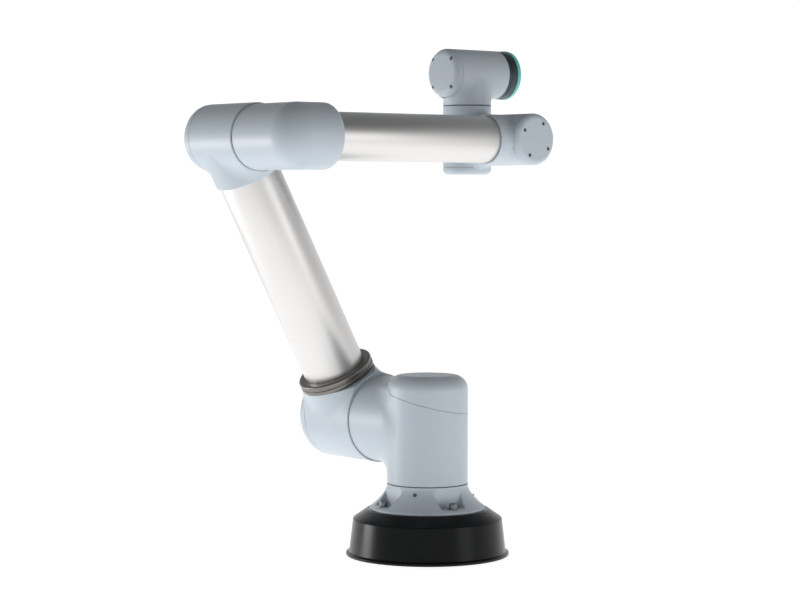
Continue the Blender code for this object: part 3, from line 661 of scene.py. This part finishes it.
def barrel_with_neck(
    node, body, start, end, radius, wall, root, tip, neck_radius, width, cell, way, extra=()
):
    """A barrel from start to end with a side neck from root to tip, seamed at both ends of the barrel.

    way is the radius of the cable way through the neck. What passes the barrel's end is cut off for the cap.
    """
    along = (end - start).normalized()
    barrel = drum_field(start - along * FAR_PAST, end + along * 0.006, radius, 0.001)
    out = (tip - root).normalized()
    neck = rod_field(root, tip + out * FAR_PAST, neck_radius)
    field = blended(barrel, neck, width)
    reach = max(radius, neck_radius) + 0.012
    ends = [start, end, root, tip]
    lowest = Vector([min(p[n] for p in ends) - reach for n in range(3)])
    highest = Vector([max(p[n] for p in ends) + reach for n in range(3)])
    thing = casting(f"{node}_casting", field, lowest, highest, cell)
    trim, wide = 0.15, 0.16
    cuts = [
        rod(f"{node}_before", start, start - along * trim, wide, 64),
        rod(f"{node}_beyond_neck", tip, tip + out * trim, wide, 64),
        rod(f"{node}_beyond_cap", end, end + along * trim, radius + GAP),
        rod(f"{node}_bore", start - along * PAST, end + along * PAST, radius - wall),
        rod(f"{node}_cable_way", root, tip + out * PAST, way, HOLE_SEGMENTS),
        seam_ring(f"{node}_start_groove", start, along, radius, JOINT_GROOVE),
        seam_ring(f"{node}_end_groove", end, along, radius, SEAM_GROOVE),
        *extra,
    ]
    carved(thing, cut=cuts)
    return finished(thing, body, "casting_paint", "casting_paint", node)


def tube(name, body, start, end, radius, wall, node):
    """A drawn tube with slightly rounded edges."""
    length = (end - start).length
    places = [(radius, 0), (radius, length), (radius - wall, length), (radius - wall, 0)]
    corners = [(r, h, TUBE_ROUNDING) for r, h in places]
    made = turned(name, start, end - start, rounded(corners, 3), FINE, hollow=True)
    return finished(made, body, "tube_metal", "bare_tube", node)


def upper_arm():
    start = Vector((0, SHOULDER_JOINT.y, SHOULDER_JOINT.z))
    seam_y = low("upper_arm_shoulder_cap", "y") - GAP
    end = Vector((0, seam_y, SHOULDER_JOINT.z))
    neck_tip = UPPER_ARM_ROOT + ALONG_UPPER_ARM * CLAMP_START
    barrel_with_neck(
        "upper_arm_shoulder_housing", "upper_arm", start, end, SHOULDER_RADIUS, WALL, UPPER_ARM_ROOT,
        neck_tip, UPPER_ARM_NECK_RADIUS, 0.045, COARSE_CELL, ARM_CABLE_WAY,
    )
    cap_length = high("upper_arm_shoulder_cap", "y") - seam_y
    cap(
        "upper_arm_shoulder_cap", end, Y, SHOULDER_RADIUS, GAP, cap_length, 0.014, WALL, "upper_arm",
        0.058, pi / 4,
    )

    waist, seat = CLAMP_RADIUS - 0.0014, UPPER_TUBE_RADIUS + GAP
    ring = turned("clamp_ring", UPPER_ARM_ROOT, ALONG_UPPER_ARM, rounded([
        (CLAMP_RADIUS, CLAMP_START + GAP, 0.0012), (CLAMP_RADIUS, CLAMP_START + 0.0065, 0.0004),
        (waist, CLAMP_START + 0.0075, 0.0004), (waist, CLAMP_START + 0.0095, 0.0004),
        (CLAMP_RADIUS, CLAMP_START + 0.0105, 0.0004), (CLAMP_RADIUS, CLAMP_END, 0.0030),
        (seat, CLAMP_END, 0.0006), (seat, CLAMP_START + GAP, 0.0006),
    ]), FINE, hollow=True)
    finished(ring, "upper_arm", "clamp_metal", "clamp_metal", "upper_arm_clamp_ring")

    tube_start = UPPER_ARM_ROOT + ALONG_UPPER_ARM * (CLAMP_START + GAP)
    tube_end = UPPER_ARM_ROOT + ALONG_UPPER_ARM * (UPPER_ARM_LENGTH - ELBOW_RADIUS - 0.001)
    tube("upper_tube", "upper_arm", tube_start, tube_end, UPPER_TUBE_RADIUS, WALL, "upper_arm_tube")

    start = Vector((ELBOW_JOINT.x, ELBOW_JOINT.y, ELBOW_JOINT.z))
    end = Vector((ELBOW_JOINT.x, seam_y, ELBOW_JOINT.z))
    collar_root = UPPER_ARM_TIP - ALONG_UPPER_ARM * ELBOW_COLLAR_SETBACK
    collar_end = UPPER_ARM_TIP - ALONG_UPPER_ARM * ELBOW_COLLAR_LENGTH
    socket = rod(
        "upper_tube_socket", tube_end + ALONG_UPPER_ARM * GAP, collar_end - ALONG_UPPER_ARM * PAST,
        UPPER_TUBE_RADIUS + GAP,
    )
    barrel_with_neck(
        "upper_arm_elbow_housing", "upper_arm", start, end, ELBOW_RADIUS, WALL, collar_root, collar_end,
        ELBOW_COLLAR_RADIUS, 0.030, COARSE_CELL, ARM_CABLE_WAY, extra=[socket],
    )
    cap(
        "upper_arm_elbow_cap", end, Y, ELBOW_RADIUS, GAP, cap_length, 0.014, THIN_WALL, "upper_arm",
        0.041, pi / 4,
    )


def forearm():
    sleeve_end = high("forearm_elbow_housing", "x")
    joint = Vector((ELBOW.x, ELBOW_JOINT.y - GAP, ELBOW.z))
    sleeve = drum_field(ELBOW, Vector((sleeve_end, ELBOW.y, ELBOW.z)), SLEEVE_RADIUS, SLEEVE_ROUNDING)
    corner = rod_field(ELBOW, ELBOW + X * 0.05, SLEEVE_RADIUS)
    branch = rod_field(ELBOW, joint + Y * FAR_PAST, SLEEVE_RADIUS - 0.0002)

    def casing(points):
        far, way_far = sleeve(points)
        near, way_near = corner(points)
        ahead = points[:, 0] > ELBOW.x + 0.02
        return np.where(ahead, far, near), np.where(ahead[:, None], way_far, way_near)

    field = blended(casing, branch, 0.030)
    reach = SLEEVE_RADIUS + 0.006
    lowest = ELBOW - Vector((reach, reach, reach))
    highest = Vector((sleeve_end + PAST, joint.y, ELBOW.z + reach))
    thing = casting("elbow_casting", field, lowest, highest, COARSE_CELL)
    inner = SLEEVE_RADIUS - WALL
    ahead = Vector((sleeve_end, ELBOW.y, ELBOW.z))
    tube_seat = ahead - X * (TUBE_SEAT_LENGTH + 0.001)
    carved(thing, cut=[
        turned("sleeve_hollow", ELBOW, X, [(0, -inner), *[
            (inner * sin(t), -inner * cos(t)) for t in np.linspace(0.1, pi / 2, 12)
        ], (inner, sleeve_end - ELBOW.x - TUBE_SEAT_LENGTH)]),
        rod("branch_hollow", ELBOW, joint - Y * JOINT_WEB, inner - 0.0001),
        rod("sleeve_socket", tube_seat, ahead + X * PAST, FORE_TUBE_RADIUS + GAP),
        rod("elbow_joint_hole", joint - Y * 0.02, joint + Y * PAST, ELBOW_CABLE_WAY, HOLE_SEGMENTS),
        seam_ring("elbow_joint_groove", joint + Y * GAP / 2, Y, SLEEVE_RADIUS, JOINT_GROOVE),
        turned("sleeve_lip_groove", ahead - X * 0.0008, X, rounded([
            (FORE_TUBE_RADIUS - 0.001, 0, 0), (FORE_TUBE_RADIUS + 0.0022, 0, 0.0004),
            (FORE_TUBE_RADIUS + 0.0030, 0.004, 0), (FORE_TUBE_RADIUS - 0.001, 0.004, 0),
        ], 2), FINE, hollow=True),
    ])
    finished(thing, "forearm", "casting_paint", "casting_paint", "forearm_elbow_housing")
    seal("elbow_joint_seal", joint + Y * GAP / 2, Y, SLEEVE_RADIUS - SEAL_RADIUS, "forearm")

    start_x, end_x = low("forearm_tube", "x"), high("forearm_tube", "x")
    start, end = (Vector((x, FOREARM_Y, WRIST_1.z)) for x in (start_x, end_x))
    tube("fore_tube", "forearm", start, end, FORE_TUBE_RADIUS, THIN_WALL, "forearm_tube")

    collar_x = low("forearm_wrist_housing", "x")
    collar_end = Vector((collar_x, FOREARM_Y, WRIST_1.z))
    seam = Vector((WRIST_1.x, high("forearm_wrist_cap", "y") + GAP, WRIST_1.z))
    joint = Vector((WRIST_1.x, WRIST_1_JOINT.y - GAP, WRIST_1.z))
    socket = rod("fore_tube_socket", collar_end - X * PAST, end + X * GAP, FORE_TUBE_RADIUS + GAP)
    barrel_with_neck(
        "forearm_wrist_housing", "forearm", joint, seam, WRIST_1_RADIUS, THIN_WALL, WRIST_1, collar_end,
        WRIST_COLLAR_RADIUS, 0.012, MIDDLE_CELL, COLUMN_CABLE_WAY, extra=[socket],
    )
    cap_length = seam.y - low("forearm_wrist_cap", "y")
    cap(
        "forearm_wrist_cap", seam, -Y, WRIST_1_RADIUS, GAP, cap_length, 0.010, THIN_WALL, "forearm",
        0.031, radians(60),
    )
    seal("wrist_1_joint_seal", joint + Y * GAP / 2, Y, WRIST_1_RADIUS - SEAL_RADIUS, "forearm")


def wrists():
    root = Vector((WRIST_1.x, WRIST_1_JOINT.y, WRIST_1.z))
    seam = Vector((WRIST_2.x, WRIST_2.y, high("wrist_1_cap", "z") + GAP))
    joint = Vector((WRIST_2.x, WRIST_2.y, WRIST_2_JOINT.z - GAP))
    neck_radius = WRIST_1_RADIUS - 0.001
    neck_groove = seam_ring("wrist_1_neck_groove", root, Y, neck_radius, JOINT_GROOVE)
    barrel_with_neck(
        "wrist_1_housing", "wrist_1", joint, seam, WRIST_2_RADIUS, THIN_WALL, WRIST_2, root,
        neck_radius, 0.014, MIDDLE_CELL, WRIST_CABLE_WAY, extra=[neck_groove],
    )
    cap_length = seam.z - low("wrist_1_cap", "z")
    cap("wrist_1_cap", seam, -Z, WRIST_2_RADIUS, GAP, cap_length, 0.009, THIN_WALL, "wrist_1", 0.031, pi / 4)
    seal("wrist_2_joint_seal", joint + Z * GAP / 2, Z, WRIST_2_RADIUS - SEAL_RADIUS, "wrist_1")

    root = Vector((WRIST_3.x, WRIST_3.y, WRIST_2_JOINT.z))
    seam = Vector((high("wrist_2_cap", "x") + GAP, WRIST_3.y, WRIST_3.z))
    joint = Vector((WRIST_3_JOINT.x - GAP, WRIST_3.y, WRIST_3.z))
    neck_groove = seam_ring("wrist_2_neck_groove", root, Z, WRIST_2_RADIUS, JOINT_GROOVE)
    barrel_with_neck(
        "wrist_2_housing", "wrist_2", joint, seam, WRIST_3_RADIUS, THIN_WALL, WRIST_3, root,
        WRIST_2_RADIUS, 0.018, MIDDLE_CELL, WRIST_CABLE_WAY, extra=[neck_groove],
    )
    cap_length = seam.x - low("wrist_2_cap", "x")
    cap("wrist_2_cap", seam, -X, WRIST_3_RADIUS, GAP, cap_length, 0.012, THIN_WALL, "wrist_2", 0.0345, pi / 4)
    # this seal is set back, because the tool flange has no groove of its own
    seal_at = joint - X * (SEAL_RADIUS - 0.0002)
    seal("wrist_3_joint_seal", seal_at, X, WRIST_3_RADIUS - SEAL_RADIUS - 0.0001, "wrist_2")


# Base and riser


BOLT_CIRCLE = 0.084
FIRST_BOLT_ANGLE = radians(-100)
FIRST_SLOT_ANGLE = radians(-133)
SIDE_SCREW_ANGLE = radians(-147)
FLANGE_TOP = FLANGE_BOTTOM + 0.008
FLANGE_EDGE = 0.003
BELL_TOP = BASE_TOP - 0.002
BELL_CURVE = 1.7
POCKET_WALL = 0.0655
POCKET_TOP = BASE_TOP - 0.0045
POCKET_HALF_WIDTH = 0.0215
POCKET_DRAFT = 0.005
POCKET_ROUNDING = 0.0025
BASE_BORE = 0.058
INLET_RADIUS, INLET_SEAT_RADIUS = 0.0133, 0.0163
CONNECTOR_SEAT = 0.0853
WASHER_RADIUS, WASHER_BORE, WASHER_THICKNESS = 0.0085, 0.0045, 0.0012


def bell_field(points):
    """The bell between the flange and the column, with a drafted pocket over each bolt."""
    x, y, z = points.T
    reach = np.hypot(x, y)
    rise = np.clip((BELL_TOP - z) / (BELL_TOP - FLANGE_BOTTOM - FLANGE_EDGE), 0, 1)
    # less than the level distance, because the bell slants
    value = (reach - COLUMN_RADIUS - (FLANGE_RADIUS - COLUMN_RADIUS) * rise**BELL_CURVE) * 0.75
    share = (z - FLANGE_TOP) / (POCKET_TOP - FLANGE_TOP)
    for n in range(4):
        angle = FIRST_BOLT_ANGLE + pi / 2 * n
        out = x * cos(angle) + y * sin(angle)
        aside = np.abs(y * cos(angle) - x * sin(angle))
        sides = aside - (POCKET_HALF_WIDTH + POCKET_DRAFT * np.clip(share, 0, 1))
        pocket = np.stack([POCKET_WALL - out, sides, FLANGE_TOP - z, z - POCKET_TOP]).max(0)
        overlap = np.clip(1 - np.abs(value + pocket) / POCKET_ROUNDING, 0, 1)
        value = np.maximum(value, -pocket) + overlap**2 * POCKET_ROUNDING / 4
    way = np.stack([x, y, np.zeros_like(z)], 1) / np.maximum(reach, 1e-9)[:, None]
    return value, way


def flange_slots():
    """Shallow slots down the bell, between the bolts."""
    slots = []
    for n in range(4):
        angle = FIRST_SLOT_ANGLE + pi / 2 * n
        out = X * cos(angle) + Y * sin(angle)
        foot, head = out * 0.0990 + Z * (FLANGE_BOTTOM + 0.002), out * 0.0805 + Z * (BASE_TOP - 0.022)
        slots.append(rod(f"flange_slot_{n}", foot, head, 0.0026, 16))
    return slots


def base():
    reach = FLANGE_RADIUS + 0.004
    lowest = Vector((-reach, -reach, FLANGE_BOTTOM))
    highest = Vector((reach, reach, BASE_TOP))
    thing = casting("base_casting", bell_field, lowest, highest, FINE_CELL)
    connector = (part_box("base_connector")[0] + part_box("base_connector")[1]) / 2
    outwards = Vector((connector.x, connector.y, 0)).normalized()
    level = Z * connector.z
    inlet_start, inlet_end = outwards * 0.05 + level, outwards * 0.12 + level
    screw_out = X * cos(SIDE_SCREW_ANGLE) + Y * sin(SIDE_SCREW_ANGLE)
    screw_way = (screw_out + Z * 0.35).normalized()
    screw_seat = screw_out * 0.0695 + Z * (BASE_TOP - 0.0125)
    carved(thing, cut=[
        rod("base_bore", Z * (FLANGE_BOTTOM - PAST), Z * 0.110, BASE_BORE),
        rod("base_top_hole", Z * 0.10, Z * 0.13, COLUMN_CABLE_WAY, HOLE_SEGMENTS),
        rod("inlet", inlet_start, inlet_end, INLET_RADIUS, HOLE_SEGMENTS),
        rod("inlet_seat", outwards * CONNECTOR_SEAT + level, inlet_end, INLET_SEAT_RADIUS, HOLE_SEGMENTS),
        seam_ring("base_top_groove", Z * (BASE_TOP + GAP / 2), Z, COLUMN_RADIUS, JOINT_GROOVE),
        *flange_slots(),
        rod("side_screw_bore", screw_seat, screw_seat + screw_way * 0.02, 0.0036, 24),
    ])
    finished(thing, "base", "casting_paint", "casting_paint", "base_housing")
    screws("base_side_screw", SMALL_SCREW, [screw_seat], screw_way, "base")
    for n, place in enumerate(around(Z * 0, Z, BOLT_CIRCLE, FIRST_BOLT_ANGLE), 1):
        bolt = link(f"base_screw_{n}", BASE_BOLT)
        seat = place + Z * (FLANGE_TOP + GAP)
        washer = turned(f"base_washer_{n}", seat, Z, rounded([
            (WASHER_RADIUS, 0, 0), (WASHER_RADIUS, WASHER_THICKNESS, 0.0003),
            (WASHER_BORE, WASHER_THICKNESS, 0), (WASHER_BORE, 0, 0),
        ], 2), 40, hollow=True)
        finished(washer, "base", "screw_steel", "bolt_steel")
        bolt.location = seat + Z * WASHER_THICKNESS
        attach(bolt, "base")
        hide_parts(f"base_bolt_{n}")


def riser():
    foot, rim, brim = RISER_FOOT_RADIUS, FLANGE_RADIUS + 0.0285, FLANGE_RADIUS + 0.006
    opening, chamber, plate_seat = 0.030, 0.110, 0.1173
    body = turned("riser_casing", Vector(), Z, rounded([
        (plate_seat, 0, 0), (foot, 0, 0.0006), (foot, 0.0042, 0.0016), (foot - 0.0052, 0.0058, 0.0012),
        (rim, 0.0610, 0.0045), (brim, RISER_TOP, 0.003), (opening, RISER_TOP, 0.001),
        (opening, RISER_TOP - 0.012, 0), (chamber, 0.050, 0), (chamber, 0.0064, 0), (plate_seat, 0.0064, 0),
    ], 6), 160, hollow=True)
    finished(body, "base", "riser_black", "riser_black", "riser_body")


# Tool flange


TOOL_BOSS_RADIUS = 0.0350
PILOT_RADIUS, PILOT_DEPTH = 0.01575, 0.006
TOOL_CABLE_WAY = 0.008
THREAD_CIRCLE, THREAD_RADIUS, THREAD_DEPTH = 0.025, 0.003, 0.010
SINK_RADIUS = 0.0036


def tool_holes(axis, face):
    """The cutters for the four threads with their countersinks, the dowel hole and the connector's seat."""
    holes = []
    for n, at in enumerate(around(face, X, THREAD_CIRCLE, pi / 4)):
        holes.append(rod(f"thread_{n}", at - X * THREAD_DEPTH, at + X * PAST, THREAD_RADIUS, 32))
    dowel = face - Y * THREAD_CIRCLE
    holes.append(rod("dowel_hole", dowel - X * PILOT_DEPTH, dowel + X * PAST, THREAD_RADIUS, 32))
    side = axis + X * middle("tool_connector", "x")
    holes.append(rod("tool_connector_seat", side + Y * 0.0395, side + Y * 0.06, 0.0072, HOLE_SEGMENTS))
    cone = [(0, -SINK_RADIUS), (SINK_RADIUS, 0), (SINK_RADIUS + 0.0001, 0.001), (0, 0.001)]
    for n, at in enumerate(around(face, X, THREAD_CIRCLE, pi / 4)):
        holes.append(turned(f"thread_sink_{n}", at, X, cone, 32))
    return holes


def tool():
    axis = Vector((0, WRIST_3.y, WRIST_3.z))
    start, step = WRIST_3_JOINT.x, low("tool_light_ring", "x") - GAP
    boss, waist, pilot_floor = TOOL_BOSS_RADIUS, TOOL_RADIUS - 0.0008, TOOL_FACE_X - PILOT_DEPTH
    plate = turned("tool_plate", axis, X, rounded([
        (TOOL_CABLE_WAY, start, 0), (TOOL_RADIUS, start, 0.0005), (TOOL_RADIUS, start + 0.0042, 0.0004),
        (waist, start + 0.0048, 0.0003), (waist, start + 0.0056, 0.0003),
        (TOOL_RADIUS, start + 0.0062, 0.0004), (TOOL_RADIUS, step, 0.0005), (boss, step, 0),
        (boss, TOOL_FACE_X, 0.0008), (PILOT_RADIUS, TOOL_FACE_X, 0.0005), (PILOT_RADIUS, pilot_floor, 0),
        (TOOL_CABLE_WAY, pilot_floor, 0.0004),
    ], 3), FINE, hollow=True)
    carved(plate, cut=tool_holes(axis, axis + X * TOOL_FACE_X))
    finished(plate, "wrist_3", "tool_dark", "tool_dark", "tool_flange")

    ring_end = high("tool_light_ring", "x")
    ring_radius = radius_of("tool_light_ring", "z")
    light = turned("light_ring", axis, X, rounded([
        (boss + GAP, step + GAP, 0), (ring_radius, step + GAP, 0.0006), (ring_radius, ring_end, 0.0026),
        (boss + GAP, ring_end, 0.0004),
    ], 6), FINE, hollow=True)
    finished(light, "wrist_3", "light_teal", "light_teal", "tool_light_ring")


# Connectors


def connector(node, body, origin, way, inside, flange, shell, bore, step, end, seat, pins):
    """A round connector: its way in, its flange from seat to step, its shell with a recess, and its contacts.

    inside gives the (radius, height, rounding) corners of what is behind the flange.
    """
    depth = end - (end - seat) * 0.45
    socket = turned(f"{node}_socket", origin, way, rounded([
        *inside, (flange, step, 0.0004), (shell, step, 0), (shell, end, 0.0005), (bore, end, 0.0003),
        (bore, depth, 0.0002), (0, depth, 0),
    ], 3), 64)
    finished(socket, body, "connector_black", "connector_black", node)
    pin, tip = bore * 0.1, (end - depth) * 0.7
    for n, at in enumerate(around(origin + way * depth, way, bore * 0.6, 0, pins), 1):
        contact = turned(f"{node}_pin_{n}", at, way, rounded([
            (0, -0.0002, 0), (pin, -0.0002, 0), (pin, tip, pin / 2), (0, tip, 0),
        ], 3), 16)
        finished(contact, body, "contact_gold", "bearing_steel")


def connectors():
    centre = (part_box("base_connector")[0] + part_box("base_connector")[1]) / 2
    outwards = Vector((centre.x, centre.y, 0)).normalized()
    stem, back, flange, seat = 0.0129, 0.062, 0.0158, 0.0856
    connector("base_connector", "base", Z * centre.z, outwards, [
        (0, back, 0), (stem, back, 0), (stem, seat + 0.0001, 0), (flange, seat + 0.0001, 0.0003),
    ], flange, shell=0.0135, bore=0.0105, step=0.0930, end=0.1010, seat=seat, pins=8)

    origin = Vector((middle("tool_connector", "x"), WRIST_3.y, WRIST_3.z))
    flange, seat = 0.0068, 0.0398
    connector("tool_connector", "wrist_3", origin, Y, [
        (0, seat, 0), (flange, seat, 0.0003),
    ], flange, shell=0.0058, bore=0.0044, step=0.0440, end=0.0500, seat=seat, pins=5)


# Drives inside the joints, which keep their CAD shapes


def drives():
    looks = {
        "stator": "motor_copper", "rotor": "shaft_steel", "strain_wave_cup": "reducer_steel",
        "output_bearing": "bearing_steel", "drive_board": "circuit_green",
    }
    for name, node in frame["nodes"].items():
        for ending, look in looks.items():
            if name.endswith(ending):
                node.data.materials.clear()
                node.data.materials.append(MATERIALS[look])
    plate = frame["nodes"]["riser_bottom_plate"]
    plate.data.materials.clear()
    plate.data.materials.append(MATERIALS["riser_black"])


# Studio


VIEW_DIRECTION = (0.644, 0.765, 0)


def studio():
    floor = link("floor", bpy.data.meshes.new("floor"))
    bm = bmesh.new()
    bmesh.ops.create_grid(bm, x_segments=1, y_segments=1, size=30)
    bm.to_mesh(floor.data)
    bm.free()
    floor.location = (0, 0, -0.0002)
    material, shader = new_material("pale_floor", (0.60, 0.60, 0.60), 0.9)
    shader.inputs["Specular IOR Level"].default_value = 0.1
    shader.inputs["Emission Color"].default_value = (1, 1, 1, 1)
    shader.inputs["Emission Strength"].default_value = 0.86
    floor.data.materials.append(material)

    world = bpy.data.worlds.new("studio")
    bpy.context.scene.world = world
    world.use_nodes = True
    nodes, links = world.node_tree.nodes, world.node_tree.links
    background = nodes["Background"]
    coordinates = nodes.new("ShaderNodeTexCoord")
    split = nodes.new("ShaderNodeSeparateXYZ")
    links.new(coordinates.outputs["Generated"], split.inputs["Vector"])
    # bright round the horizon and darker overhead
    ramp = nodes.new("ShaderNodeValToRGB")
    ramp.color_ramp.elements[0].position = 0.16
    ramp.color_ramp.elements[0].color = (1.0, 1.0, 1.0, 1)
    ramp.color_ramp.elements[1].position = 0.60
    ramp.color_ramp.elements[1].color = (0.26, 0.27, 0.28, 1)
    links.new(split.outputs["Z"], ramp.inputs["Fac"])
    links.new(ramp.outputs["Color"], background.inputs["Color"])
    # brighter behind the arm than behind the camera
    backwards = nodes.new("ShaderNodeVectorMath")
    backwards.operation = "DOT_PRODUCT"
    backwards.inputs[1].default_value = VIEW_DIRECTION
    links.new(coordinates.outputs["Generated"], backwards.inputs[0])
    strength = nodes.new("ShaderNodeMapRange")
    strength.inputs["From Min"].default_value, strength.inputs["From Max"].default_value = -0.3, 0.8
    strength.inputs["To Min"].default_value, strength.inputs["To Max"].default_value = 0.45, 1.10
    links.new(backwards.outputs["Value"], strength.inputs["Value"])
    links.new(strength.outputs["Result"], background.inputs["Strength"])

    lights = {
        # name: place, aimed at, size, power
        "left_light": ((-1.6, 1.85, 0.15), (-0.1, 0.1, 0.45), 0.8, 19),
        "right_light": ((0.9, -2.7, 0.8), (0.0, 0.0, 0.3), 1.4, 8),
        "ground_light": ((0, 0, 0.0005), (0, 0, 1), 3.0, 10),
    }
    for name, (place, aim, size, power) in lights.items():
        data = bpy.data.lights.new(name, "AREA")
        data.shape = "DISK"
        data.size = size
        data.energy = power
        light = bpy.data.objects.new(name, data)
        bpy.context.scene.collection.objects.link(light)
        light.location = place
        light.rotation_euler = (Vector(aim) - Vector(place)).to_track_quat("-Z", "Y").to_euler()


def camera():
    data = bpy.data.cameras.new("camera")
    data.lens = 100
    data.clip_end = 100
    eye = bpy.data.objects.new("camera", data)
    bpy.context.scene.collection.objects.link(eye)
    eye.location = (-2.376, -2.824, 0.605)
    aim = (Vector(cad_box[0]) + Vector(cad_box[1])) / 2
    aim.z -= 0.005
    eye.rotation_euler = (aim - eye.location).to_track_quat("-Z", "Y").to_euler()
    bpy.context.scene.camera = eye
    bpy.context.scene.view_settings.view_transform = "Standard"


studio()
camera()
riser()
base()
shoulder()
upper_arm()
forearm()
wrists()
tool()
connectors()
drives()
